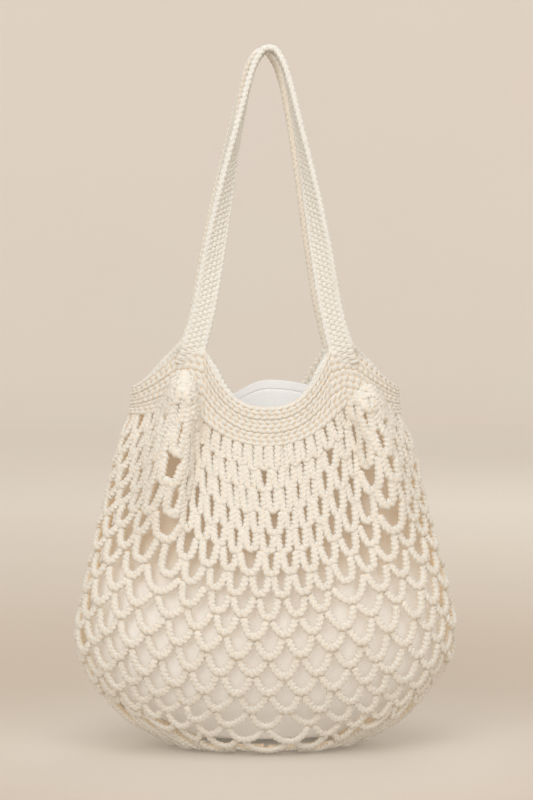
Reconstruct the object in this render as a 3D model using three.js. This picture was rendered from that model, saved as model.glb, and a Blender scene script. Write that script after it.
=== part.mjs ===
// A crocheted cotton market bag, standing on its oval base with both shoulder straps up.
// Millimetres. +Z is up, the front faces -Y, and the origin is the middle of the base's underside.
//
// The body is a tube of crocheted rounds: an oval base, open rounds of cord loops, and a dense band
// round the mouth. The band dips at the front and the back and at both sides, and rises to four
// strap roots. A loose cotton liner stands inside. Each round is one closed ring with the true
// thickness of its cord, and neighbouring rings keep a small gap.
import * as THREE from "three";

const CORD = 9; // thickness of a net cord, and so of the body's wall
const GAP = 0.4; // between pieces that touch
const AROUND = 48; // sides of every ring

// The net: rounds of loops from the band down to the base.
const ROUNDS = 18;
const TUCKED = 3; // the last rounds, which curve under the bag
const BAND_RIDGES = 3;
const ROUND_DROP = 20.1; // from one round to the next, down the middle of the front
const SMILE = 59; // how much higher a round lies at the sides than in the middle of the front

// The band's top and bottom edges: heights in the middle of the front, at a strap root and at a side.
const BAND_TOP = { middle: 345.5, root: 401, side: 363.5 };
const BAND_BOTTOM = { middle: 306.5, root: 346, side: 335 };
const NECK_END = 0.475; // the root's inner edge, as a share of the half-width
const ARM_END = 0.68; // the root's outer edge
const ROOT_MIDDLE = 0.58;

// The middle surface of the wall: height, half-width and half-depth. Heights under CORD / 2 are the
// part that is tucked under the bag.
const PROFILE = [
  [-40, 70, 32],
  [-16, 87, 45],
  [8, 103, 57],
  [30, 139, 69],
  [60, 167, 82],
  [85, 182, 89],
  [115, 189, 92],
  [145, 185.5, 91],
  [190, 175, 86],
  [220, 166.5, 79],
  [280, 152.5, 65],
  [310, 144.5, 60],
  [336, 133.5, 57],
  [362, 130, 56],
  [402, 127, 56],
];
const BASE = { halfWidth: 70, halfDepth: 32, thickness: 8 };
const FOLD = { height: 13, width: 0.1, at: 0.67, valley: 6, valleyAt: 0.49 };

// The two straps. Each leg turns a quarter turn on its way up, so that its outer edge faces
// forwards (or backwards, on the rear strap) where the strap passes over the top.
const STRAP = { width: 24, rootWidth: 26.4, edge: 5.5, thickness: 5, edgeThickness: 6.5 };
const STRAP_ROOT = { y: 45, z: BAND_TOP.root + 1 };
const STRAP_TOP = { y: 14, z: 696.5, sideways: 3 };
const TURN_FROM = 392;
const TURN_TO = 690;
// How far a leg's middle is from the strap's middle, at heights above the root.
const LEG_SPREAD = [
  [0, 76],
  [16, 71.5],
  [46, 63.5],
  [96, 52.5],
  [146, 43.6],
  [186, 36.2],
  [211, 31],
  [236, 25.8],
  [261, 20],
  [279, 14.5],
];

// The liner, a loose cotton pouch.
const LINER = {
  wall: 2.4,
  inset: 13.5,
  neckInset: 21,
  hem: 12,
  seam: 1.2,
  bottom: 13,
  front: 334,
  rear: 361,
  side: 345,
};

const clamp01 = (t) => Math.min(1, Math.max(0, t));
const smooth = (t) => clamp01(t) ** 2 * (3 - 2 * clamp01(t));

// A smooth curve through a table of rows, read at a value of the first column.
function readTable(table, at, column) {
  const last = table.length - 2;
  let i = table.findIndex((row) => row[0] > at) - 1;
  i = i < 0 ? (at < table[0][0] ? 0 : last) : i;
  const slope = (k) => {
    const a = table[Math.max(k - 1, 0)];
    const b = table[Math.min(k + 1, table.length - 1)];
    return (b[column] - a[column]) / (b[0] - a[0]);
  };
  const [a, b] = [table[i], table[i + 1]];
  const span = b[0] - a[0];
  const t = clamp01((at - a[0]) / span);
  return (
    a[column] * (1 + 2 * t) * (1 - t) ** 2 +
    b[column] * t * t * (3 - 2 * t) +
    slope(i) * span * t * (1 - t) ** 2 +
    slope(i + 1) * span * t * t * (t - 1)
  );
}

// The band's edges. side is 0 in the middle of the front or back and 1 at a side.
function bandTop(side) {
  const { middle, root, side: end } = BAND_TOP;
  if (side < NECK_END) return middle + (root - middle) * (side / NECK_END) ** 2.6;
  if (side < ARM_END) return root;
  return end + (root - end) * ((1 - side) / (1 - ARM_END)) ** 1.15;
}

function bandBottom(side) {
  const { middle, root, side: end } = BAND_BOTTOM;
  if (side < ROOT_MIDDLE) return middle + (root - middle) * (side / ROOT_MIDDLE) ** 2;
  return end + (root - end) * ((1 - side) / (1 - ROOT_MIDDLE)) ** 2;
}

// The height of a round. Round -1 is the band's top edge, 0 its bottom edge, ROUNDS the base.
function roundHeight(side, round) {
  if (round <= 0) return bandTop(side) + (bandBottom(side) - bandTop(side)) * (round + 1);
  const last = ROUNDS - TUCKED;
  if (round > last) {
    const start = roundHeight(side, last);
    return start + (PROFILE[0][0] - start) * ((round - last) / TUCKED);
  }
  const fade = smooth(round / 8);
  const smile = SMILE * side ** (1.9 + 1.3 * smooth((round - 9) / 6));
  const rise = (1 - fade) * (bandBottom(side) - BAND_BOTTOM.middle) + fade * smile;
  return BAND_BOTTOM.middle - ROUND_DROP * round + rise;
}

// How far the wall stands out in the soft folds below each strap root.
function foldDepth(side, height) {
  const bell = (centre) => Math.exp(-(((side - centre) / FOLD.width) ** 2));
  const fade = smooth((height - 180) / 130) * (1 - 0.7 * smooth((height - 335) / 50));
  return fade * (FOLD.height * bell(FOLD.at) - FOLD.valley * bell(FOLD.valleyAt));
}

// A point of the body at an angle and height, moved in by inset.
function bodyPoint(angle, height, inset = 0) {
  const [c, s] = [Math.cos(angle), Math.sin(angle)];
  const depth = readTable(PROFILE, height, 2) - inset;
  const pinch = 1 + 0.35 * smooth((height - 150) / 150);
  const over = height - CORD / 2;
  return new THREE.Vector3(
    (readTable(PROFILE, height, 1) - inset) * c,
    Math.sign(s) * (depth * Math.abs(s) ** pinch + foldDepth(Math.abs(c), height)),
    CORD / 2 + 0.5 * (over + Math.hypot(over, 8)),
  );
}

// A point of the wall's middle surface, by angle and round.
function wallPoint(angle, round) {
  return bodyPoint(angle, roundHeight(Math.abs(Math.cos(angle)), round));
}

// The directions down and out of a surface given as a function of two numbers.
function directions(surface, u, v) {
  const [du, dv] = [0.05, 0.02];
  const across = surface(u + du, v).sub(surface(u - du, v));
  const down = surface(u, v + dv).sub(surface(u, v - dv)).normalize();
  return { down, out: down.clone().cross(across).normalize() };
}

// A closed body through sections of equal length. A loop joins the last section to the first. The
// two halves of a section split their quads the opposite way, so that the facing ends of two
// neighbouring rings have the same folds.
function loft(sections, loop) {
  const sides = sections[0].length;
  const index = [];
  const quad = (a, b, c, d, turned) =>
    turned ? index.push(b, a, d, b, d, c) : index.push(a, c, b, a, d, c);
  const count = loop ? sections.length : sections.length - 1;
  for (let i = 0; i < count; i++) {
    const next = (i + 1) % sections.length;
    for (let k = 0; k < sides; k++) {
      const l = (k + 1) % sides;
      const turned = k >= sides / 2;
      quad(i * sides + k, i * sides + l, next * sides + l, next * sides + k, turned);
    }
  }
  if (!loop) {
    const end = (sections.length - 1) * sides;
    for (let k = 1; k < sides - 1; k++) index.push(0, k, k + 1, end, end + k + 1, end + k);
  }
  const points = sections.flat().flatMap((p) => p.toArray());
  const made = new THREE.BufferGeometry();
  made.setAttribute("position", new THREE.Float32BufferAttribute(points, 3));
  made.setIndex(index);
  made.computeVertexNormals();
  return made;
}

// A ring of the surface between two values of v, with the given thickness. Its two edges are cut
// back by half of the gap, so that the next ring's edge is parallel to this one's.
function ringOf(surface, from, to, thickness) {
  const sections = [];
  for (let i = 0; i < AROUND; i++) {
    const angle = (2 * Math.PI * i) / AROUND;
    const corner = (v, back, way) => {
      const { down, out } = directions(surface, angle, v);
      const at = surface(angle, v).addScaledVector(down, (back * GAP) / 2);
      return at.addScaledVector(out, (way * thickness) / 2);
    };
    sections.push([corner(from, 1, 1), corner(from, 1, -1), corner(to, -1, -1), corner(to, -1, 1)]);
  }
  return loft(sections, true);
}

// Materials: unbleached cotton yarn, and thin white cotton cloth.
const yarn = new THREE.MeshStandardMaterial({ color: 0xeadfc9, roughness: 0.95, metalness: 0 });
const denseYarn = new THREE.MeshStandardMaterial({ color: 0xece3d0, roughness: 0.92, metalness: 0 });
const strapYarn = new THREE.MeshStandardMaterial({ color: 0xebe4d4, roughness: 0.92, metalness: 0 });
const cloth = new THREE.MeshStandardMaterial({ color: 0xf1eeea, roughness: 0.85, metalness: 0 });

const bag = new THREE.Group();
function add(name, geometry, material) {
  const mesh = new THREE.Mesh(geometry, material);
  mesh.name = name;
  bag.add(mesh);
}

// The dense oval base.
function baseGeometry() {
  const oval = new THREE.Shape();
  oval.absellipse(0, 0, BASE.halfWidth - GAP, BASE.halfDepth - GAP, 0, 2 * Math.PI);
  return new THREE.ExtrudeGeometry(oval, {
    depth: BASE.thickness,
    bevelEnabled: false,
    curveSegments: AROUND,
  });
}
add("oval_base", baseGeometry(), denseYarn);

// The open rounds, numbered from the band down, and the band's three ridges above them.
for (let i = 0; i < ROUNDS; i++) {
  const name = "net_round_" + String(i + 1).padStart(2, "0");
  add(name, ringOf(wallPoint, i, i + 1, CORD), yarn);
}
const BAND_NAMES = ["band_top_edging", "band_middle_ridge", "band_lower_ridge"];
for (let i = 0; i < BAND_RIDGES; i++) {
  const from = i / BAND_RIDGES - 1;
  add(BAND_NAMES[i], ringOf(wallPoint, from, from + 1 / BAND_RIDGES, CORD), denseYarn);
}

// One strap: the middle line, then the section at each height of it. front is 1 or -1.
function strapSections(front, from, to, thickness) {
  const rise = STRAP_TOP.z - STRAP_ROOT.z;
  const leg = (way) =>
    LEG_SPREAD.map(([up, spread]) => new THREE.Vector3(way * spread, 0, STRAP_ROOT.z + up));
  const top = [-6, 0, 6].map((x) => new THREE.Vector3(x, 0, STRAP_TOP.z - (x * x) / 24));
  const line = new THREE.CatmullRomCurve3([...leg(-1), ...top, ...leg(1).reverse()], false, "centripetal");
  const lean = new THREE.Vector3(0, STRAP_ROOT.y - STRAP_TOP.y, rise).normalize();
  const forward = new THREE.Vector3(0, -lean.z, lean.y);
  const steps = 48;
  const sections = [];
  for (let i = 0; i <= steps; i++) {
    const at = line.getPoint(i / steps);
    const along = line.getTangent(i / steps);
    const share = (at.z - STRAP_ROOT.z) / rise;
    const outside = new THREE.Vector3(-along.z, 0, along.x);
    const level = new THREE.Vector3(Math.sign(at.x) || 1, 0, 0);
    outside.lerp(level, 1 - smooth(share * 8)).normalize();
    const turn = (Math.PI / 2) * smooth((at.z - TURN_FROM) / (TURN_TO - TURN_FROM));
    const edge = outside.clone().multiplyScalar(Math.cos(turn)).addScaledVector(forward, Math.sin(turn));
    const face = edge.clone().cross(along).normalize();
    if (i === 0 || i === steps) face.set(0, Math.sign(face.y) || 1, 0);
    const widen = 1 + (STRAP.rootWidth / STRAP.width - 1) * (1 - smooth(share * 10));
    at.y = -STRAP_ROOT.y + (STRAP_ROOT.y - STRAP_TOP.y) * share;
    const corner = (across, out) =>
      at.clone().addScaledVector(edge, across * widen).addScaledVector(face, out);
    const half = thickness / 2;
    sections.push([corner(to, half), corner(from, half), corner(from, -half), corner(to, -half)]);
    for (const p of sections[i]) p.x += STRAP_TOP.sideways * share;
  }
  if (front < 0) for (const p of sections.flat()) p.set(-p.x, -p.y, p.z);
  return sections;
}

const HALF = STRAP.width / 2;
const RIB = HALF - STRAP.edge;
for (const [name, front] of [["front", 1], ["rear", -1]]) {
  add(name + "_strap_web", loft(strapSections(front, -RIB, RIB, STRAP.thickness)), strapYarn);
  const outer = strapSections(front, RIB + GAP, HALF, STRAP.edgeThickness);
  add(name + "_strap_outer_edging", loft(outer), strapYarn);
  const inner = strapSections(front, -HALF, -RIB - GAP, STRAP.edgeThickness);
  add(name + "_strap_inner_edging", loft(inner), strapYarn);
}

// The liner. Its surface runs from the hem, v = 0, to the bottom seam, v = 1.
function linerHem(angle) {
  const s = Math.sin(angle);
  return LINER.side + (s > 0 ? (LINER.rear - LINER.side) * s * s : (LINER.front - LINER.side) * s * s);
}
function linerPoint(angle, v) {
  const height = linerHem(angle) + (LINER.bottom - linerHem(angle)) * v;
  const inset = LINER.inset + (LINER.neckInset - LINER.inset) * smooth((height - 230) / 90);
  const tuck = 1 - 0.16 * smooth((40 - height) / 27);
  const point = bodyPoint(angle, height, inset);
  return new THREE.Vector3(point.x * tuck, point.y * tuck, height);
}

// Half of the liner between two angles, as a curved sheet with a wall.
function linerPanel(start, end) {
  const [columns, rows] = [22, 8];
  const trim = 0.05;
  const sheet = (way) => (i, j) => {
    const angle = start + trim + ((end - start - 2 * trim) * i) / columns;
    const hemShare = (LINER.hem + LINER.seam) / (linerHem(angle) - LINER.bottom);
    const v = hemShare + (1 - hemShare) * (j / rows);
    const { out } = directions(linerPoint, angle, v);
    return linerPoint(angle, v).addScaledVector(out, (way * LINER.wall) / 2);
  };
  const sections = [];
  for (let i = 0; i <= columns; i++) {
    const outer = Array.from({ length: rows + 1 }, (_, j) => sheet(1)(i, j));
    const inner = Array.from({ length: rows + 1 }, (_, j) => sheet(-1)(i, rows - j));
    sections.push([...inner, ...outer].reverse());
  }
  return sections;
}

// The ends of a panel are strips of quads, so that each end face is whole.
function closeStrip(sections) {
  const sides = sections[0].length;
  const half = sides / 2;
  const made = loft(sections, false);
  const index = Array.from(made.index.array).slice(0, (sections.length - 1) * sides * 6);
  const end = (sections.length - 1) * sides;
  for (let k = 0; k < half - 1; k++) {
    const [a, b, c, d] = [k, k + 1, sides - 2 - k, sides - 1 - k];
    index.push(a, c, d, a, b, c, end + a, end + c, end + b, end + a, end + d, end + c);
  }
  made.setIndex(index);
  made.computeVertexNormals();
  return made;
}
add("liner_rear_panel", closeStrip(linerPanel(0, Math.PI)), cloth);
add("liner_front_panel", closeStrip(linerPanel(Math.PI, 2 * Math.PI)), cloth);
const hemSurface = (angle, v) => linerPoint(angle, (v * LINER.hem) / (linerHem(angle) - LINER.bottom));
add("liner_hem", ringOf(hemSurface, 0, 1, LINER.wall + 0.8), cloth);

// The liner's bottom panel lies inside the lower edge of the two side panels.
function linerBottom() {
  const outline = new THREE.Shape(
    Array.from({ length: AROUND }, (_, i) => {
      const angle = (2 * Math.PI * i) / AROUND;
      const p = linerPoint(angle, 1);
      const inward = 1 - (LINER.wall / 2 + 2 * GAP) / Math.hypot(p.x, p.y) - 0.01;
      return new THREE.Vector2(p.x * inward, p.y * inward);
    }),
  );
  const made = new THREE.ExtrudeGeometry(outline, { depth: LINER.wall, bevelEnabled: false });
  return made.translate(0, 0, LINER.bottom);
}
add("liner_bottom_panel", linerBottom(), cloth);

export default bag;
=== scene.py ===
"""The crocheted cotton market bag: net, band, straps and liner, standing on a pale floor."""

import math

import bpy
import numpy as np
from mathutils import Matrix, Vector


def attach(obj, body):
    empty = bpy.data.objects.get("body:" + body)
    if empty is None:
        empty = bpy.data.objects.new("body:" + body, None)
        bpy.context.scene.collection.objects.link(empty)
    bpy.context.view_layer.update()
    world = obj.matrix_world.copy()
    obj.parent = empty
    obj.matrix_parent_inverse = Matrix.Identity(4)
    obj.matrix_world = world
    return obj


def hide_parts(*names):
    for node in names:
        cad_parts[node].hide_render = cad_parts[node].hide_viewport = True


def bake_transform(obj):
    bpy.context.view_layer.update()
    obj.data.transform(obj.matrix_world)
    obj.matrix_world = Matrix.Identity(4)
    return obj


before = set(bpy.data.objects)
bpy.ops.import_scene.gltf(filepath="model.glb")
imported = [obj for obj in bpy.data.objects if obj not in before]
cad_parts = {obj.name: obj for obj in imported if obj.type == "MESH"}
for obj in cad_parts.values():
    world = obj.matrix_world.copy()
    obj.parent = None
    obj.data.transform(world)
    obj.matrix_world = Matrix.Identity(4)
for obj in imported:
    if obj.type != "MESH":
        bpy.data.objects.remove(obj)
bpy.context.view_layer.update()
rng = np.random.default_rng(7)

MM = 0.001
CORD = 9.0

# Driving sizes, in millimetres, as in the CAD model unless a comment says otherwise.
ROUNDS = 18
TUCKED = 2  # rounds that lie under the bag. The CAD model has 3
ROUND_DROP = 20.1
CLOSER = 19.0  # how much the last rounds are raised by lying closer together, in the look only
SMILE = 59.0
BAND_TOP = (345.5, 401.0, 363.5)  # in the middle of the front, at a strap root, at a side
BAND_BOTTOM = (306.5, 346.0, 335.0)
NECK_END = 0.475
ARM_END = 0.68
ROOT_MIDDLE = 0.58
LOWEST = -40.0

# Height, half-width and half-depth of the wall's middle surface.
PROFILE = np.array(
    [
        (-40, 70, 32),
        (-16, 87, 45),
        (8, 103, 57),
        (30, 139, 69),
        (60, 167, 82),
        (85, 182, 89),
        (115, 189, 92),
        (145, 185.5, 91),
        (190, 175, 86),
        (220, 166.5, 79),
        (280, 152.5, 65),
        (310, 144.5, 60),
        (336, 133.5, 57),
        (362, 130, 56),
        (402, 127, 56),
    ],
    float,
)
BASE = (70.0, 32.0, 8.0)  # half-width, half-depth, thickness

# The soft folds below the strap roots, by hand and face. Each has its place (a share of the
# half-width), height and width, the place and depth of the valley inboard of it, and how far the
# net's top edge is lifted over the band there.
FOLDS = {
    ("left", "front"): (0.645, 23.0, 0.145, 0.455, 7.0, 36.0),
    ("right", "front"): (0.775, 17.0, 0.145, 0.60, 6.0, 27.0),
    ("left", "rear"): (0.68, 13.0, 0.14, 0.50, 5.0, 16.0),
    ("right", "rear"): (0.66, 14.0, 0.14, 0.48, 5.0, 16.0),
}


def by_quarter(c, s, value):
    """value(fold) for the quarter of the bag that each point lies in."""
    total = np.zeros(np.broadcast(c, s).shape)
    for (hand, face), fold in FOLDS.items():
        here = ((c < 0) == (hand == "left")) & ((s < 0) == (face == "front"))
        total = np.where(here, value(fold), total)
    return total


def smooth(t):
    t = np.clip(t, 0.0, 1.0)
    return t * t * (3 - 2 * t)


def read_table(table, at, column):
    """A smooth curve through the table's rows, read at values of its first column."""
    x, y = table[:, 0], table[:, column]
    slope = np.empty(len(x))
    slope[1:-1] = (y[2:] - y[:-2]) / (x[2:] - x[:-2])
    slope[0] = (y[1] - y[0]) / (x[1] - x[0])
    slope[-1] = (y[-1] - y[-2]) / (x[-1] - x[-2])
    i = np.clip(np.searchsorted(x, at, side="right") - 1, 0, len(x) - 2)
    span = x[i + 1] - x[i]
    t = np.clip((at - x[i]) / span, 0, 1)
    return (
        y[i] * (1 + 2 * t) * (1 - t) ** 2
        + y[i + 1] * t * t * (3 - 2 * t)
        + slope[i] * span * t * (1 - t) ** 2
        + slope[i + 1] * span * t * t * (t - 1)
    )


def band_top(side):
    middle, root, end = BAND_TOP
    neck = middle + (root - middle) * np.clip(side / NECK_END, 0, 1) ** 2.6
    arm = end + (root - end) * np.clip((1 - side) / (1 - ARM_END), 0, 1) ** 1.15
    return np.minimum(neck, arm)


def band_bottom(side):
    middle, root, end = BAND_BOTTOM
    inner = middle + (root - middle) * np.clip(side / ROOT_MIDDLE, 0, 1) ** 2
    outer = end + (root - end) * np.clip((1 - side) / (1 - ROOT_MIDDLE), 0, 1) ** 2
    return np.where(side < ROOT_MIDDLE, inner, outer)


def band_height(angle, h):
    """A height on the band: h is 0 at its top edge and 1 at its bottom edge."""
    side = np.abs(np.cos(angle))
    top = band_top(side)
    return top + (band_bottom(side) - top) * h


def net_height(angle, v):
    """The height of a round: 0 is the net's top edge, ROUNDS the base. In the folds the top edge is
    puffed up over the band."""
    c, s = np.cos(angle), np.sin(angle)
    side = np.abs(c)
    last = ROUNDS - TUCKED
    lift = by_quarter(c, s, lambda fold: fold[5] * np.exp(-np.abs((side - fold[0]) / 0.12) ** 2.1))
    top = band_bottom(side) + lift - BAND_BOTTOM[0]
    at = np.minimum(v, last)
    fade = smooth(at / 8)
    smile = SMILE * side ** (1.9 + 1.3 * smooth((at - 9) / 6))
    height = BAND_BOTTOM[0] - ROUND_DROP * at + (1 - fade) * top + fade * smile
    height = height + CLOSER * np.clip((at - 10) / (last - 10), 0, 1) ** 2
    return height + (LOWEST - height) * np.clip((v - last) / TUCKED, 0, 1)


def fold_depth(c, s, height):
    """How far the wall stands out in the folds below the strap roots."""
    side = np.abs(c)
    fade = smooth((height - 175) / 110) * (1 - 0.6 * smooth((height - 358) / 40))

    def depth(fold):
        ridge = fold[1] * np.exp(-np.abs((side - fold[0]) / fold[2]) ** 3)
        return ridge - fold[4] * np.exp(-(((side - fold[3]) / 0.085) ** 2))

    return fade * by_quarter(c, s, depth)


def body_point(angle, height, inset, fold):
    """The bag's wall, moved in by inset, with a share of the folds' depth. Near the floor it
    flattens out, half a cord above it."""
    c, s = np.cos(angle), np.sin(angle)
    depth = read_table(PROFILE, height, 2) - inset
    pinch = 1 + 0.35 * smooth((height - 150) / 150)
    over = height - CORD / 2
    x = (read_table(PROFILE, height, 1) - inset) * c
    y = np.sign(s) * (depth * np.abs(s) ** pinch + fold * fold_depth(c, s, height))
    z = CORD / 2 + 0.5 * (over + np.hypot(over, 8))
    return np.stack([x, y, z], -1)


def net_point(angle, v):
    return body_point(angle, net_height(angle, v), 0.0, 0.45 + 0.55 * smooth(v / 0.9))


def band_point(angle, h):
    return body_point(angle, band_height(angle, h), 0.0, 0.12)


def unit(v):
    return v / np.maximum(np.linalg.norm(v, axis=-1, keepdims=True), 1e-9)


def directions(surface, u, v):
    """Down and out of a surface given as a function of two numbers."""
    across = surface(u + 0.03, v) - surface(u - 0.03, v)
    down = unit(surface(u, v + 0.03) - surface(u, v - 0.03))
    return down, unit(np.cross(down, across))


# Columns. q runs once round the bag. The stitches are gathered in the middle of the front and back.
FINE = 1440  # steps round the bag
ROW_STEP = 0.5  # in rounds
ANGLES = np.linspace(0, 2 * np.pi, FINE + 1)
ROWS = np.arange(0, ROUNDS + 0.01, ROW_STEP)


def gather(v):
    """How much closer the columns of a round stand in the middle of the front and back."""
    return 0.75 - 0.8 * smooth((v - 2) / 9) - 0.45 * smooth((v - 12) / 3)


def even_angles(points, weight):
    """How far the angle runs ahead at even weighted steps round a closed line of points."""
    step = np.linalg.norm(np.diff(points, axis=0), axis=1)
    q = np.concatenate([[0], np.cumsum(step * weight)])
    even = np.linspace(0, 1, len(ANGLES))
    return np.interp(even, q / q[-1], ANGLES) - 2 * np.pi * even


def column_table():
    table = []
    for v in ROWS:
        points = net_point(ANGLES, np.full_like(ANGLES, v))
        middle = 0.5 * (points[1:, 0] + points[:-1, 0])
        table.append(even_angles(points, 1 + gather(v) * np.exp(-((middle / 62) ** 2))))
    return np.array(table)


COLUMNS = column_table()
BAND_COLUMNS = even_angles(band_point(ANGLES, 0.5), 1.0)


def angle_of(q, v):
    """The angle of column q at round v, read from the table."""
    f = np.mod(q, 1.0) * FINE
    i = np.minimum(f.astype(int), FINE - 1)
    a = f - i
    g = np.clip(v / ROW_STEP, 0, len(ROWS) - 1.001)
    j = g.astype(int)
    b = g - j
    low = COLUMNS[j, i] * (1 - a) + COLUMNS[j, i + 1] * a
    high = COLUMNS[j + 1, i] * (1 - a) + COLUMNS[j + 1, i + 1] * a
    return 2 * np.pi * q + low * (1 - b) + high * b


WAVES = [(rng.normal(size=3), rng.uniform(0, 2 * np.pi)) for _ in range(6)]


def waver(points, length):
    """A smooth number from -1 to 1 that varies over the given length."""
    total = 0.0
    for direction, start in WAVES:
        total = total + np.sin(points @ (direction * 2 * np.pi / length / 1.7) + start)
    return total / len(WAVES)


def wall(q, v):
    """The net's surface at column q and round v, with its directions down and out."""
    angle = angle_of(q, v)
    point = net_point(angle, v)
    down, out = directions(net_point, angle, v)
    return point, down, out


# Meshes.
def mesh_object(name, points, faces, material, painted_shade=None):
    mesh = bpy.data.meshes.new(name)
    mesh.from_pydata((points.reshape(-1, 3) * MM).tolist(), [], faces)
    mesh.polygons.foreach_set("use_smooth", np.ones(len(mesh.polygons), bool))
    # The attribute that marks where the material lays painted shade and painted glow.
    if painted_shade is not None:
        attribute = mesh.attributes.new("painted_shade", "FLOAT", "POINT")
        attribute.data.foreach_set("value", np.clip(painted_shade, 0, 1).astype(np.float32).ravel())
    mesh.materials.append(material)
    mesh.update()
    made = bpy.data.objects.new(name, mesh)
    bpy.context.scene.collection.objects.link(made)
    return made


def grid_faces(count, across, closed_along, first=0):
    """The quads of a tube or ring: count sections of across points each."""
    i = np.arange(count if closed_along else count - 1)
    k = np.arange(across)
    i, k = np.meshgrid(i, k, indexing="ij")
    j, m = (i + 1) % count, (k + 1) % across
    quads = np.stack([i * across + k, j * across + k, j * across + m, i * across + m], -1)
    return (quads.reshape(-1, 4) + first).tolist()


def end_faces(start, across, turned):
    faces = []
    for k in range(across // 2 - 1):
        face = [start + k, start + k + 1, start + across - 2 - k, start + across - 1 - k]
        faces.append(face[::-1] if turned else face)
    return faces


def chain_relief(length, theta, pitch, along, across):
    """The two rows of plump lobes of a crocheted chain, as a factor on its radius."""
    front = np.minimum(theta, 2 * np.pi - theta)
    shift = np.where(theta < np.pi, 0.0, 0.5)
    phase = length / pitch + shift - 0.45 * front / (np.pi / 2)
    lobe = np.abs(np.sin(np.pi * phase))
    groove = np.exp(-((front / 0.45) ** 2)) + 0.7 * np.exp(-(((np.pi - front) / 0.5) ** 2))
    return 1 - along * (1 - lobe) ** 1.4 - across * groove


def chains(centres, outs, width, thick, pitch=4.8, along=0.38, across=0.24, around=12):
    """Crocheted chains along centre lines of equal length: points, faces and painted shade."""
    count, steps = centres.shape[:2]
    tangent = unit(np.gradient(centres, axis=1))
    step = np.linalg.norm(np.diff(centres, axis=1), axis=2)
    length = np.concatenate([np.zeros((count, 1)), np.cumsum(step, 1)], 1)
    start = rng.uniform(0, 5, (count, 1, 1))
    side = unit(np.cross(tangent, outs))
    out = unit(np.cross(side, tangent))
    theta = (2 * np.pi * (np.arange(around) + 0.5) / around)[None, None, :]
    factor = chain_relief(length[..., None] + start, theta, pitch, along, across)
    # Painted shade in the grooves between the lobes and on the sides of each cord turned away from
    # its out direction.
    painted_shade = (1 - factor) / (along + across)
    painted_shade = np.maximum(painted_shade, 0.95 * np.clip(0.5 - np.cos(theta), 0, 1))
    left = np.minimum(length, length[:, -1:] - length)[..., None]
    cap = np.minimum(width, thick) * 0.42
    factor = factor * np.sqrt(np.clip(1 - (1 - np.clip(left / cap, 0.03, 1)) ** 2, 0.002, 1))
    # Painted shade at the cords' ends.
    painted_shade = np.maximum(painted_shade, 0.9 * np.clip(1 - left / (0.6 * cap), 0, 1))
    points = (
        centres[:, :, None, :]
        + side[:, :, None, :] * (factor * np.sin(theta) * width / 2)[..., None]
        + out[:, :, None, :] * (factor * np.cos(theta) * thick / 2)[..., None]
    )
    points = points + unit(points - centres[:, :, None, :]) * (0.34 * waver(points, 2.6))[..., None]
    faces = []
    for i in range(count):
        first = i * steps * around
        faces += grid_faces(steps, around, False, first)
        faces += end_faces(first, around, False)
        faces += end_faces(first + (steps - 1) * around, around, True)
    return points, faces, painted_shade


# Materials.
def node_of(tree, kind, **values):
    node = tree.nodes.new(kind)
    for name, value in values.items():
        if hasattr(node, name):
            setattr(node, name, value)
        else:
            node.inputs[name.replace("_", " ")].default_value = value
    return node


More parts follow.
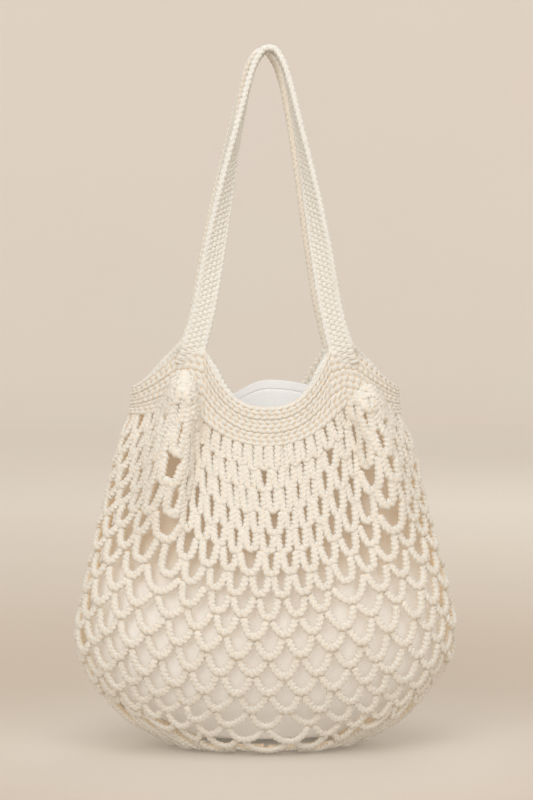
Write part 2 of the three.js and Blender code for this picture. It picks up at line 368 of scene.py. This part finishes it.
def cotton(name, light, deep, painted_shade_colour, shade_glow, fibre=0.35, scale=900.0, painted_glow=0.0):
    """Matte cotton: two close tones mixed at random and a fine fibre relief, with painted shade, a
    darker and warmer colour, in the hollows and on the cords' back sides. It also glows as painted
    light, by one amount where the painted shade lies and by another everywhere."""
    material = bpy.data.materials.new(name)
    material.use_nodes = True
    tree = material.node_tree
    shader = tree.nodes["Principled BSDF"]
    link = tree.links.new
    place = tree.nodes.new("ShaderNodeTexCoord")
    patches = node_of(tree, "ShaderNodeTexNoise", Scale=38.0, Detail=3.0, Roughness=0.6)
    fibres = node_of(tree, "ShaderNodeTexNoise", Scale=scale, Detail=3.0, Roughness=0.7)
    for noise in (patches, fibres):
        link(place.outputs["Object"], noise.inputs["Vector"])
    shades = tree.nodes.new("ShaderNodeMix")
    shades.data_type = "RGBA"
    shades.inputs[6].default_value = (*deep, 1)
    shades.inputs[7].default_value = (*light, 1)
    link(patches.outputs["Fac"], shades.inputs[0])
    speckle = tree.nodes.new("ShaderNodeMix")
    speckle.data_type = "RGBA"
    speckle.blend_type = "MULTIPLY"
    tone = tree.nodes.new("ShaderNodeMapRange")
    tone.inputs["From Min"].default_value = 0.3
    tone.inputs["From Max"].default_value = 0.7
    tone.inputs["To Min"].default_value = 0.86
    tone.inputs["To Max"].default_value = 1.06
    link(fibres.outputs["Fac"], tone.inputs["Value"])
    speckle.inputs[0].default_value = 1.0
    link(shades.outputs[2], speckle.inputs[6])
    link(tone.outputs["Result"], speckle.inputs[7])
    # Painted shade: the mesh's shade attribute mixes the darker, warmer colour in.
    low = tree.nodes.new("ShaderNodeAttribute")
    low.attribute_name = "painted_shade"
    curve = tree.nodes.new("ShaderNodeMapRange")
    curve.inputs["From Min"].default_value = 0.35
    curve.inputs["From Max"].default_value = 1.0
    curve.inputs["To Max"].default_value = 0.75
    link(low.outputs["Fac"], curve.inputs["Value"])
    painted_shade_mix = tree.nodes.new("ShaderNodeMix")
    painted_shade_mix.data_type = "RGBA"
    painted_shade_mix.inputs[7].default_value = (*painted_shade_colour, 1)
    link(curve.outputs["Result"], painted_shade_mix.inputs[0])
    link(speckle.outputs[2], painted_shade_mix.inputs[6])
    link(painted_shade_mix.outputs[2], shader.inputs["Base Color"])
    # Painted glow: the material gives off light in its own colour, more where the painted shade
    # lies.
    link(painted_shade_mix.outputs[2], shader.inputs["Emission Color"])
    painted_glow_strength = node_of(tree, "ShaderNodeMath", operation="MULTIPLY_ADD")
    painted_glow_strength.inputs[1].default_value = shade_glow
    painted_glow_strength.inputs[2].default_value = painted_glow
    link(curve.outputs["Result"], painted_glow_strength.inputs[0])
    link(painted_glow_strength.outputs["Value"], shader.inputs["Emission Strength"])
    bump = tree.nodes.new("ShaderNodeBump")
    bump.inputs["Strength"].default_value = fibre
    bump.inputs["Distance"].default_value = 0.0006
    link(fibres.outputs["Fac"], bump.inputs["Height"])
    link(bump.outputs["Normal"], shader.inputs["Normal"])
    shader.inputs["Roughness"].default_value = 0.92
    shader.inputs["Specular IOR Level"].default_value = 0.2
    shader.inputs["Sheen Weight"].default_value = 0.25
    shader.inputs["Sheen Roughness"].default_value = 0.5
    return material


# The yarns: two tones, the colour of their painted shade, and how brightly they glow as painted
# light in that shade.
net_yarn = cotton(
    "net_yarn", (0.845, 0.815, 0.75), (0.805, 0.765, 0.685), (0.88, 0.66, 0.40), shade_glow=0.26
)
band_yarn = cotton(
    "band_yarn", (0.81, 0.78, 0.72), (0.76, 0.72, 0.645), (0.80, 0.61, 0.39), shade_glow=0.13
)
strap_yarn = cotton(
    "strap_yarn", (0.81, 0.795, 0.745), (0.77, 0.75, 0.69), (0.82, 0.66, 0.47), shade_glow=0.06
)
# Painted light: the liner glows a little everywhere, and its third colour is the painted shade laid
# on its upper outside.
liner_cloth = cotton(
    "liner_cloth",
    (0.88, 0.875, 0.865),
    (0.86, 0.855, 0.84),
    (0.66, 0.56, 0.43),
    fibre=0.06,
    scale=1500.0,
    painted_glow=0.12,
    shade_glow=0.0,
)


# The net. The loops in each round, where they aren't USUAL_LOOPS, and how much thicker the cords
# are on the folds, by round.
LOOPS = {1: 56, 2: 46, 3: 46, 4: 40, 5: 40, 6: 34, 7: 34, 16: 26, 17: 20, 18: 16}
USUAL_LOOPS = 30
PLUMP = {1: 4.0, 2: 2.6, 3: 2.6, 4: 2.2, 5: 1.6, 6: 0.8}


def arc_depth(t, power):
    return 1 - np.abs(t) ** power


def arc_heights(arcs, q):
    """The height, in rounds, at which a round's arcs pass the columns q."""
    gap = np.mod(q[:, None] - arcs["middle"][None, :] + 0.5, 1.0) - 0.5
    nearest = np.argmin(np.abs(gap), 1)
    t = gap[np.arange(len(q)), nearest] / arcs["half"][nearest]
    top = 0.5 * (arcs["start"][nearest] + arcs["end"][nearest])
    depth = arc_depth(np.clip(t, -1, 1), arcs["power"][nearest])
    return top + (arcs["bottom"][nearest] - top) * depth


def valley_shade(centres):
    """How much painted shade the yarn takes in the valleys beside the folds."""
    angle = np.arctan2(centres[..., 1] / 60.0, centres[..., 0] / 140.0)
    side = np.abs(centres[..., 0]) / read_table(PROFILE, centres[..., 2], 1)
    c, s = np.cos(angle), np.sin(angle)
    near = by_quarter(c, s, lambda fold: np.exp(-(((side - fold[3]) / 0.06) ** 2)))
    return 0.42 * near * smooth((centres[..., 2] - 215) / 80)


def fold_share(q, v):
    """How far a column of the net is up on a fold, from 0 to 1."""
    angle = angle_of(q, v)
    c, s = np.cos(angle), np.sin(angle)
    return by_quarter(c, s, lambda fold: np.exp(-np.abs((np.abs(c) - fold[0]) / 0.13) ** 3))


# The cords that close the top of a fold, one inside the other: reach, place in rounds, height.
ARCHES = [(1.0, 0.1, 1.0), (0.55, 0.5, 2.6)]


def fold_arch(hand, face, reach, down, up):
    """A cord over the top of a fold, from one side of it to the other."""
    at = FOLDS[hand, face][0]
    side = np.linspace(at - 0.17 * reach, at + 0.15 * reach, 80)
    c = side if hand == "right" else -side
    angle = np.arctan2(np.sqrt(1 - c * c) * (-1 if face == "front" else 1), c)
    v = np.full_like(angle, down)
    point = net_point(angle, v)
    _, out = directions(net_point, angle, v)
    return point + out * up, out


def with_arches(points, faces, painted_shade):
    """The first round's mesh with the cords over the folds added to it."""
    over = [fold_arch(hand, face, *arch) for hand, face in FOLDS for arch in ARCHES]
    lines, outs = np.array([line for line, _ in over]), np.array([out for _, out in over])
    arch, arch_faces, arch_painted_shade = chains(lines, outs, 8.5, 8.0)
    points = points.reshape(-1, 3)
    faces = faces + [[len(points) + corner for corner in face] for face in arch_faces]
    points = np.vstack([points, arch.reshape(-1, 3)])
    return points, faces, np.concatenate([painted_shade.ravel(), arch_painted_shade.ravel()])


def net_round(i, above):
    """One round of loops, hung from the arcs of the round above, and the arcs it makes itself."""
    count = LOOPS.get(i, USUAL_LOOPS)
    even = (np.arange(count) + 0.5 * (i % 2)) / count
    joints = even + rng.normal(0, 0.03, count) / count
    if above is not None:
        gap = np.mod(above["middle"][None, :] - joints[:, None] + 0.5, 1.0) - 0.5
        near = gap[np.arange(count), np.argmin(np.abs(gap), 1)]
        joints = joints + near * (1.0 if len(above["middle"]) == count else 0.5)
    joints = np.sort(joints)
    after = np.concatenate([joints[1:], joints[:1] + 1])
    regular = (np.arange(count) + 0.5 + 0.5 * (i % 2)) / count
    middle = 0.5 * (joints + after) + rng.normal(0, 0.05, count) / count
    middle = middle + 0.4 * (regular - middle)
    bottom = np.full(count, float(i)) + rng.normal(0, 0.05, count)
    top_point, _, _ = wall(middle, bottom - 1)
    bottom_point, _, _ = wall(middle, bottom)
    pitch = np.linalg.norm(top_point - bottom_point, axis=1)
    left, _, _ = wall(joints, bottom - 0.5)
    right, _, _ = wall(after, bottom - 0.5)
    column = np.linalg.norm(left - right, axis=1)
    low = float(smooth((i - 5) / 4))
    cord = 8.0 if i == 1 else 8.9 + 0.1 * low - 2.0 * float(smooth((i - 12) / 4))
    tuck = np.minimum(2.7, 0.11 * column)
    half = 0.5 * (after - joints) * (1 - 2 * tuck / column)
    hang = (0.02 + 0.39 * low) * cord / pitch
    if above is None:
        start = np.full(count, -0.08)
        end = start
    else:
        start = arc_heights(above, joints) + hang
        end = arc_heights(above, after) + hang
    ratio = (bottom - start) * pitch / (0.5 * column)
    power = np.clip(2.35 * (1 + 0.7 * (ratio - 1)), 2.2, 5.0)
    arcs = dict(middle=middle, bottom=bottom, start=start, end=end, power=power)
    arcs["half"] = 0.5 * (after - joints)
    fine = np.linspace(-1, 1, 81)[None, :]
    lift = rng.normal(0, 0.4 + 0.35 * low, (count, 1))
    raised, dip = (1.0, 0.3) if above is None else (0.5 + 0.4 * low, 0.5 + 1.7 * low)
    on_fold = fold_share(middle, bottom - 0.5)[:, None, None]
    plump = cord + PLUMP.get(i, 0.0) * on_fold

    def place(t):
        top = np.where(t < 0, start[:, None], end[:, None])
        q = middle[:, None] + t * half[:, None]
        v = top + (bottom[:, None] - top) * arc_depth(t, power[:, None])
        point, _, out = wall(q, v)
        return point + out * (raised - dip * np.abs(t) ** 3 + lift)[..., None], out

    rough, _ = place(np.repeat(fine, count, 0))
    step = np.linalg.norm(np.diff(rough, axis=1), axis=2)
    length = np.concatenate([np.zeros((count, 1)), np.cumsum(step, 1)], 1)
    steps = int(np.mean(length[:, -1]) / 0.95)
    t = np.array([np.interp(np.linspace(0, row[-1], steps), row, fine[0]) for row in length])
    centres, outs = place(t)
    centres = centres + outs * (0.6 * waver(centres, 19))[..., None]
    centres[..., 2] = np.maximum(centres[..., 2], cord * 0.42 + 0.4)
    points, faces, painted_shade = chains(centres, outs, plump, plump * 0.86)
    # Painted shade in the valleys beside the folds, and a little less painted shade on the lower
    # rounds.
    painted_shade = np.maximum(painted_shade, valley_shade(centres)[..., None])
    painted_shade = painted_shade * (1 - 0.12 * smooth((i - 9) / 5))
    if above is None:
        points, faces, painted_shade = with_arches(points, faces, painted_shade)
    name = f"net_round_{i:02d}"
    piece = mesh_object(name + "_cords", points, faces, net_yarn, painted_shade)
    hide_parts(name)
    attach(piece, "bag_body")
    return arcs


above = None
for number in range(1, ROUNDS + 1):
    above = net_round(number, above)


# The band's three ridges.
RIDGES = ["band_top_edging", "band_middle_ridge", "band_lower_ridge"]
BAND_STITCH = 7.2  # length along the band


def ridge(index, name):
    """Three rows of small slanted stitches, with pinholes where four of them meet, darkened by
    painted shade.
    """
    steps, face = 1300, 18
    q = np.arange(steps) / steps
    angle = 2 * np.pi * q + np.interp(q, np.linspace(0, 1, len(ANGLES)), BAND_COLUMNS)
    across = np.linspace(-0.01, 1.01, face)
    h = np.concatenate([across, across[::-1]])[None, :]
    way = np.concatenate([np.ones(face), -np.ones(face)])[None, :]
    angles, at = np.meshgrid(angle, (index + h[0]) / 3, indexing="ij")
    point = band_point(angles, at)
    _, out = directions(band_point, angles, at)
    line = band_point(angle, (index + 0.5) / 3)
    step = np.linalg.norm(np.diff(line, axis=0, append=line[:1]), axis=1)
    length = np.concatenate([[0], np.cumsum(step)[:-1]])
    pitch = step.sum() / round(step.sum() / BAND_STITCH)
    row = np.clip((h * 3).astype(int), 0, 2)
    inside = np.clip(h * 3 - row, 0, 1)
    slant = np.where((row + index) % 2 == 1, -0.28, 0.28) * inside
    between = np.abs(np.sin(np.pi * (length[:, None] / pitch + 0.5 * ((row + index) % 2) + slant)))
    beside = 1 - np.abs(2 * inside - 1)
    plump = 1 - (1 - beside) ** 3
    hole = np.exp(-((between / 0.42) ** 2) - (beside / 0.55) ** 2)
    uneven = 0.35 * waver(point, 11)
    relief = 1.5 * between**0.55 * (0.6 + 0.4 * plump) + 0.55 * plump - 1.0 * hole + uneven
    root = np.exp(-(((np.abs(np.cos(angles)) - ROOT_MIDDLE) / 0.12) ** 2))
    edge = 1 - 0.28 * (1 - root) * np.exp(-((np.minimum(h + 0.01, 1.01 - h) / 0.03) ** 2))
    if index == 0:
        edge = edge * np.sqrt(np.clip(1 - np.clip(1 - (h + 0.01) / 0.25, 0, 1) ** 2, 0.02, 1))
    offset = way * edge * (2.2 + relief) + 0.45 * waver(point, 2.6)
    points = point + out * offset[..., None]
    # Painted shade between the stitches, along the rows' edges and in the pinholes.
    painted_shade = np.clip(0.5 * (1 - between**0.6) + 0.5 * (1 - plump) + 0.7 * hole, 0, 1)
    faces = grid_faces(steps, 2 * face, True)
    piece = mesh_object(name + "_stitches", points, faces, band_yarn, painted_shade)
    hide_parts(name)
    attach(piece, "bag_body")


for index, name in enumerate(RIDGES):
    ridge(index, name)


# The straps.
STRAP_WIDTH, ROOT_WIDTH = 24.0, 26.4
ROOT_Y, ROOT_Z = 45.0, 402.0
TOP_Y, TOP_Z, SIDEWAYS = 14.0, 696.5, 3.0
TURN_FROM, TURN_TO = 392.0, 690.0  # heights between which a strap turns to lie flat at the top
STRAP_STITCH = 5.4  # length along the web
# A leg's distance from the middle, by height over its root.
LEG_SPREAD = [(0, 73), (16, 68), (46, 61), (96, 52.5), (146, 43.6), (186, 36.2), (211, 31)]
LEG_SPREAD += [(236, 25.8), (261, 20), (279, 14.5)]


def spline(points, samples):
    """A smooth curve through points, sampled at even lengths."""
    p = np.array(points, float)
    p = np.vstack([2 * p[0] - p[1], p, 2 * p[-1] - p[-2]])
    pieces = []
    for i in range(1, len(p) - 2):
        a, b, c, d = p[i - 1], p[i], p[i + 1], p[i + 2]
        t = np.linspace(0, 1, 24, endpoint=False)[:, None]
        square, cube = 2 * a - 5 * b + 4 * c - d, 3 * b - a - 3 * c + d
        pieces.append(0.5 * (2 * b + (c - a) * t + square * t**2 + cube * t**3))
    line = np.vstack(pieces + [p[-2:-1]])
    step = np.linalg.norm(np.diff(line, axis=0), axis=1)
    length = np.concatenate([[0], np.cumsum(step)])
    even = np.linspace(0, length[-1], samples)
    return np.stack([np.interp(even, length, line[:, k]) for k in range(3)], 1)


def strap_edges():
    """The outer and inner edges of the front strap from root to root."""
    left = [(-spread, 0, ROOT_Z + up) for up, spread in LEG_SPREAD]
    top = [(x, 0, TOP_Z - x * x / 24) for x in (-6, 0, 6)]
    right = [(spread, 0, ROOT_Z + up) for up, spread in reversed(LEG_SPREAD)]
    line = spline(left + top + right, 760)
    rise = TOP_Z - ROOT_Z
    along = unit(np.gradient(line, axis=0))
    share = (line[:, 2] - ROOT_Z) / rise
    lean = unit(np.array([0, ROOT_Y - TOP_Y, rise]))
    forward = np.array([0, -lean[2], lean[1]])
    outside = np.stack([-along[:, 2], 0 * share, along[:, 0]], 1)
    turn = (math.pi / 2) * smooth((line[:, 2] - TURN_FROM) / (TURN_TO - TURN_FROM))
    edge = outside * np.cos(turn)[:, None] + forward * np.sin(turn)[:, None]
    widen = 1 + (ROOT_WIDTH / STRAP_WIDTH - 1) * (1 - smooth(share * 10))
    line[:, 1] = -ROOT_Y + (ROOT_Y - TOP_Y) * share
    line[:, 0] += SIDEWAYS * share
    half = (STRAP_WIDTH / 2 - 3.0) * widen[:, None]
    outer, inner = line + edge * half, line - edge * half
    return outer, inner


# Where a strap's edging lies below its root, along the top of the band: distance from the middle.
FOOT_OUTER = [95, 103, 113, 122]
FOOT_INNER = [53, 46, 39, 31]
BAND_HALF_WIDTH = 130.0  # at the strap roots


def foot_line(root, spreads, hand):
    """A strap's edging from its root down along the band's top edge, sinking into it at the end."""
    side = np.array(spreads) / BAND_HALF_WIDTH
    angle = np.where(hand > 0, -np.arccos(side), np.pi + np.arccos(side))
    on_band = band_point(angle, 0.0)
    points = np.vstack([root, on_band])
    line = spline(points.tolist(), 90)[2:]
    sink = smooth(np.linspace(0, 1, len(line)) * 1.6 - 0.6)
    line[:, 2] += 0.6 - 4.0 * sink
    return line


def with_feet(edge, spreads):
    """An edge of a strap with its two feet on the band."""
    start = foot_line(edge[0], spreads, -1)[::-1]
    end = foot_line(edge[-1], spreads, 1)
    line = np.vstack([start, edge, end])
    for _ in range(25):
        line[1:-1] = 0.25 * line[:-2] + 0.5 * line[1:-1] + 0.25 * line[2:]
    return line


def strap(word, front):
    """A strap's flat web and its two chain edgings. front is 1, or -1 for the rear strap."""
    outer, inner = strap_edges()
    outer_line, inner_line = with_feet(outer, FOOT_OUTER), with_feet(inner, FOOT_INNER)
    sink = np.linspace(1, 0.03, 34)[:, None]
    down = sink * np.array([0, 0, -16.0]) + sink**2 * np.array([0, 3.2, 0])
    flare = sink**1.5 * np.array([6.0, 0, 0])
    ends = np.minimum(np.arange(len(outer)), np.arange(len(outer))[::-1])[:, None]
    apart = unit(outer - inner) * 2.2 * np.exp(-ends / 8.0)
    outer, inner = outer + apart, inner - apart
    outer = np.vstack([outer[0] + down - flare, outer, outer[-1] + (down + flare)[::-1]])
    inner = np.vstack([inner[0] + down + flare, inner, inner[-1] + (down - flare)[::-1]])
    middle = 0.5 * (outer + inner)
    face = unit(np.cross(unit(outer - inner), unit(np.gradient(middle, axis=0))))
    turned = np.array([front, front, 1])
    steps = len(outer)
    step = np.linalg.norm(np.diff(middle, axis=0), axis=1)
    length = np.concatenate([[0], np.cumsum(step)])[:, None]
    across = 22
    a = np.concatenate([np.linspace(-1, 1, across), np.linspace(1, -1, across)])[None, :]
    way = np.concatenate([np.ones(across), -np.ones(across)])[None, :]
    pitch = length[-1] / round(float(length[-1, 0]) / STRAP_STITCH)
    column = (a + 1) * 2.0
    number = np.clip(column.astype(int), 0, 3)
    inside = np.clip(column - number, 0, 1)
    slope = np.where(number % 2 == 0, inside, 1 - inside)
    phase = length / pitch + 0.5 * (number % 2) + 0.1 * slope
    rung = np.abs(np.sin(np.pi * phase))
    strand = np.abs(np.sin(2 * np.pi * phase))
    beside = 1 - np.abs(2 * inside - 1)
    hole = np.exp(-((rung / 0.45) ** 2) - (beside / 0.5) ** 2)
    relief = 1.35 * rung**0.6 + 0.25 * strand + 0.5 * (1 - (1 - beside) ** 2) - 0.9 * hole
    shape = np.sqrt(np.clip(1 - np.abs(a) ** 10, 0.02, 1))
    points = middle[:, None, :] + ((outer - inner)[:, None, :] * (0.5 * a)[..., None])
    offset = way * shape * (0.9 + relief) + 0.4 * waver(points, 2.6)
    points = (points + face[:, None, :] * offset[..., None]) * turned
    faces = grid_faces(steps, 2 * across, False)
    faces += end_faces(0, 2 * across, False)
    faces += end_faces((steps - 1) * 2 * across, 2 * across, True)
    # Painted shade between the rungs and in the holes.
    painted_shade = np.clip(0.6 * (1 - rung**0.6) + 0.7 * hole + 0.12 * (1 - beside), 0, 1)
    web = mesh_object(word + "_strap_rungs", points, faces, strap_yarn, painted_shade)
    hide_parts(word + "_strap_web")
    pieces = [web]
    for part, line in (("outer", outer_line), ("inner", inner_line)):
        line = line * turned
        facing = np.tile(np.array([0.0, -front, 0.15]), (len(line), 1))
        made, faces, painted_shade = chains(line[None], facing[None], 6.6, 6.6, 5.6, 0.3, 0.18)
        # The edgings take a lighter share of their painted shade.
        piece = mesh_object(f"{word}_strap_{part}_chain", made, faces, strap_yarn, 0.65 * painted_shade)
        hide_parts(f"{word}_strap_{part}_edging")
        pieces.append(piece)
    for piece in pieces:
        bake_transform(piece)


strap("front", 1)
strap("rear", -1)


# The base.
def base():
    width, depth, thick = BASE
    steps, rows = 160, 26
    angle = 2 * np.pi * np.arange(steps) / steps
    radii = np.concatenate([np.linspace(0.02, 0.985, rows), np.linspace(0.985, 0.02, rows)])
    way = np.concatenate([np.ones(rows), -np.ones(rows)])
    ripple = np.abs(np.sin(np.pi * radii * 5))
    edge = np.sqrt(np.clip(1 - np.abs(radii) ** 14, 0, 1))
    a, r = np.meshgrid(angle, radii, indexing="ij")
    stitch = np.abs(np.sin(a * 24))
    up = way * edge * (2.4 + 0.9 * ripple + 0.5 * stitch * ripple)
    points = np.stack([width * r * np.cos(a), depth * r * np.sin(a), thick / 2 + up], -1)
    faces = grid_faces(steps, 2 * rows, True)
    # Painted shade in the grooves between the rings.
    painted_shade = np.repeat((1 - ripple)[None, :], steps, 0)
    piece = mesh_object("oval_base_stitches", points, faces, band_yarn, painted_shade)
    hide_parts("oval_base")
    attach(piece, "bag_body")


base()

# The liner.
LINER_HEM = {"front": 336.0, "rear": 366.0, "side": 345.0}
LINER_FLOOR = 14.0
HEM_HEIGHT = 6.8
LIFT_ROOM = 15.0  # the range of liner_lift. Its upper part is shaped to clear the net there


def hem_height(angle):
    """The rear of the hem stands up in one soft arch, a little right of the middle."""
    c, s = np.cos(angle), np.sin(angle)
    side = LINER_HEM["side"]
    off = np.abs(c - 0.04) / np.where(c < 0.04, 0.62, 1.3)
    arch = (LINER_HEM["rear"] - side) * (1 - 1.25 * smooth(off)) * smooth(s * 2)
    return side + np.where(s > 0, arch, (LINER_HEM["front"] - side) * s * s)


def liner_point(angle, w):
    """The liner's middle surface. w runs from the hem, 0, to the bottom seam, 1."""
    top = hem_height(angle)
    height = top + (LINER_FLOOR - top) * w
    inset = 8.0 + 10.0 * smooth((height - 205) / 90)
    tuck = 1 - 0.27 * smooth((58 - height) / 44)
    point = body_point(angle, height + LIFT_ROOM * smooth((height - 100) / 60), inset, 0.4)
    point[..., 0] *= tuck
    point[..., 1] *= tuck
    point[..., 2] = height
    wrinkle = np.sin(angle * 23 + 2 * np.sin(angle * 5)) * np.sin(np.pi * np.clip(w * 1.1, 0, 1))
    wrinkle = 1.1 * wrinkle + 1.6 * waver(point * np.array([1, 1, 0.35]), 60)
    fold = 2.2 * np.exp(-(((angle - 1.5 * np.pi - 0.035) / 0.05) ** 2)) * smooth(1 - w * 2)
    outward = np.stack([np.cos(angle), np.sin(angle), 0 * angle], -1)
    return point + outward * (wrinkle - 1.2 - fold)[..., None]


def shell(surface, u, w, thick):
    """A closed thin sheet over a grid of u and w."""
    uu, ww = np.meshgrid(u, w, indexing="ij")
    point = surface(uu, ww)
    _, out = directions(surface, uu, ww)
    outer = point + out * thick / 2
    inner = (point - out * thick / 2)[:, ::-1]
    points = np.concatenate([outer, inner], 1)
    return points, point


def area_of(point):
    """The area of a grid of points, in square metres."""
    a = point[1:, :-1] - point[:-1, :-1]
    b = point[:-1, 1:] - point[:-1, :-1]
    return float(np.linalg.norm(np.cross(a, b), axis=2).sum()) * MM * MM


def length_of(line):
    return np.linalg.norm(np.diff(line, axis=0), axis=1).sum() * MM


def liner_panel(word, start, end):
    """Half of the pouch: the piece, with its area, widest width and middle height, in metres."""
    u = np.linspace(start + 0.02, end - 0.02, 170)
    w = np.linspace(0.02, 1, 90)
    points, middle = shell(liner_point, u, w, 0.8)
    across = 2 * len(w)
    faces = grid_faces(len(u), across, False)
    faces += end_faces(0, across, False)
    faces += end_faces((len(u) - 1) * across, across, True)
    # Painted shade: the outside of the liner's upper part, under the net, takes the darker, warmer
    # colour.
    outside = np.arange(across)[None, :] < len(w)
    height = points[..., 2]
    shade = outside * 0.95 * smooth((height - 130) / 90) * smooth((352 - height) / 20)
    piece = mesh_object(f"liner_{word}_cloth", points, faces, liner_cloth, shade)
    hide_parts(f"liner_{word}_panel")
    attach(piece, "liner")
    area = area_of(middle)
    tall = length_of(middle[len(u) // 2])
    wide = max(length_of(middle[:, k]) for k in range(len(w)))
    return piece, area, wide, tall


def liner_hem():
    u = np.linspace(0, 2 * np.pi, 360, endpoint=False)
    share = HEM_HEIGHT / 330.0
    w = np.linspace(-0.004, share, 14)
    points, _ = shell(liner_point, u, w, 1.5)
    faces = grid_faces(len(u), 2 * len(w), True)
    piece = mesh_object("liner_hem_cloth", points, faces, liner_cloth)
    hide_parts("liner_hem")
    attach(piece, "liner")
    return piece


def liner_bottom():
    u = np.linspace(0, 2 * np.pi, 180, endpoint=False)
    rim = liner_point(u, np.ones_like(u))
    share = np.concatenate([np.linspace(0.02, 0.985, 14), np.linspace(0.985, 0.02, 14)])
    way = np.concatenate([np.ones(14), -np.ones(14)])
    points = rim[:, None, :] * share[None, :, None]
    points[..., 2] = LINER_FLOOR + 0.6 + 0.45 * way
    piece = mesh_object("liner_bottom_cloth", points, grid_faces(180, 28, True), liner_cloth)
    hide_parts("liner_bottom_panel")
    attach(piece, "liner")
    return piece


hem = liner_hem()
bottom = liner_bottom()
for word, start in (("rear", 0.0), ("front", math.pi)):
    piece, area, wide, tall = liner_panel(word, start, start + math.pi)


# The stage, the lights and the camera.
# The backdrop's painted shade from the bag outwards, darkest in a ring about half a metre out and
# lightest far off: distance in metres, colour.
BACKDROP = [
    (0.0, (0.560, 0.520, 0.466)),
    (0.23, (0.583, 0.525, 0.455)),
    (0.45, (0.480, 0.403, 0.332)),
    (1.05, (0.550, 0.478, 0.394)),
    (2.4, (0.688, 0.638, 0.570)),
    (8.0, (0.842, 0.788, 0.729)),
]


def stage():
    """A wide pale floor that curves up into a far wall all round."""
    around, flat, radius, tall = 96, 5.0, 2.0, 7.0
    curve = [(r, 0.0) for r in (0.02, 0.5, 1.5, 3.0, flat)]
    for k in range(1, 17):
        turn = k / 16 * math.pi / 2
        curve.append((flat + radius * math.sin(turn), radius * (1 - math.cos(turn))))
    curve.append((flat + radius, tall))
    angle = 2 * np.pi * np.arange(around) / around
    rings = [np.stack([r * np.cos(angle), r * np.sin(angle), 0 * angle + z], -1) for r, z in curve]
    faces = grid_faces(len(curve), around, False) + [list(range(around))]
    material = bpy.data.materials.new("backdrop")
    material.use_nodes = True
    tree = material.node_tree
    shader = tree.nodes["Principled BSDF"]
    link = tree.links.new
    place = tree.nodes.new("ShaderNodeTexCoord")
    away = node_of(tree, "ShaderNodeVectorMath", operation="LENGTH")
    link(place.outputs["Object"], away.inputs[0])
    share = tree.nodes.new("ShaderNodeMapRange")
    share.inputs["From Max"].default_value = BACKDROP[-1][0]
    link(away.outputs["Value"], share.inputs["Value"])
    root = node_of(tree, "ShaderNodeMath", operation="POWER")
    root.inputs[1].default_value = 0.5
    link(share.outputs["Result"], root.inputs[0])
    ramp = tree.nodes.new("ShaderNodeValToRGB")
    ramp.color_ramp.interpolation = "B_SPLINE"
    elements = ramp.color_ramp.elements
    elements[0].color = (*BACKDROP[0][1], 1)
    elements[1].color = (*BACKDROP[-1][1], 1)
    for distance, colour in BACKDROP[1:-1]:
        elements.new(math.sqrt(distance / BACKDROP[-1][0])).color = (*colour, 1)
    link(root.outputs["Value"], ramp.inputs["Fac"])
    noise = node_of(tree, "ShaderNodeTexNoise", Scale=1.2, Detail=2.0)
    link(place.outputs["Object"], noise.inputs["Vector"])
    mix = tree.nodes.new("ShaderNodeMix")
    mix.data_type = "RGBA"
    mix.blend_type = "MULTIPLY"
    mix.inputs[0].default_value = 0.04
    link(ramp.outputs["Color"], mix.inputs[6])
    link(noise.outputs["Color"], mix.inputs[7])
    link(mix.outputs[2], shader.inputs["Base Color"])
    link(mix.outputs[2], shader.inputs["Emission Color"])
    # Painted glow: the backdrop gives off light in its painted shades.
    shader.inputs["Emission Strength"].default_value = 0.25
    shader.inputs["Roughness"].default_value = 0.9
    shader.inputs["Specular IOR Level"].default_value = 0.1
    mesh_object("backdrop", np.array(rings) / MM, faces, material)


DAYLIGHT = (0.93, 0.965, 1.0)


def area_light(name, place, size, power):
    """A soft light that points at the bag's middle."""
    data = bpy.data.lights.new(name, "AREA")
    data.shape = "RECTANGLE"
    data.size, data.size_y = size
    data.energy = power
    data.color = DAYLIGHT
    made = bpy.data.objects.new(name, data)
    made.location = place
    target = Vector((0, 0, 0.33))
    made.rotation_euler = (target - Vector(place)).to_track_quat("-Z", "Y").to_euler()
    made.visible_camera = False
    bpy.context.scene.collection.objects.link(made)


def lights():
    area_light("key", (-1.0, -2.3, 1.6), (1.6, 1.6), 22.5)
    area_light("fill", (1.3, -2.1, 1.35), (1.8, 1.8), 10)
    area_light("top", (0.0, -0.9, 2.3), (1.8, 1.4), 16.5)
    area_light("back", (0.9, 2.2, 1.9), (1.8, 1.8), 12.5)
    world = bpy.data.worlds.new("studio")
    world.use_nodes = True
    background = world.node_tree.nodes["Background"]
    background.inputs["Color"].default_value = (0.98, 0.94, 0.89, 1)
    background.inputs["Strength"].default_value = 0.53
    bpy.context.scene.world = world


def camera():
    """Level with the bag's middle, a long way in front of it."""
    away, azimuth, elevation = 2.5, math.radians(-2.0), math.radians(3.5)
    aim = Vector((0.001, 0.0, 0.349))
    flat = math.cos(elevation)
    back = Vector((math.sin(azimuth) * flat, -math.cos(azimuth) * flat, math.sin(elevation)))
    data = bpy.data.cameras.new("camera")
    data.lens = 36 * away / 0.8
    made = bpy.data.objects.new("camera", data)
    made.location = aim + back * away
    made.rotation_euler = (-back).to_track_quat("-Z", "Y").to_euler()
    bpy.context.scene.collection.objects.link(made)
    bpy.context.scene.camera = made


stage()
lights()
camera()
bpy.context.scene.view_settings.view_transform = "Standard"
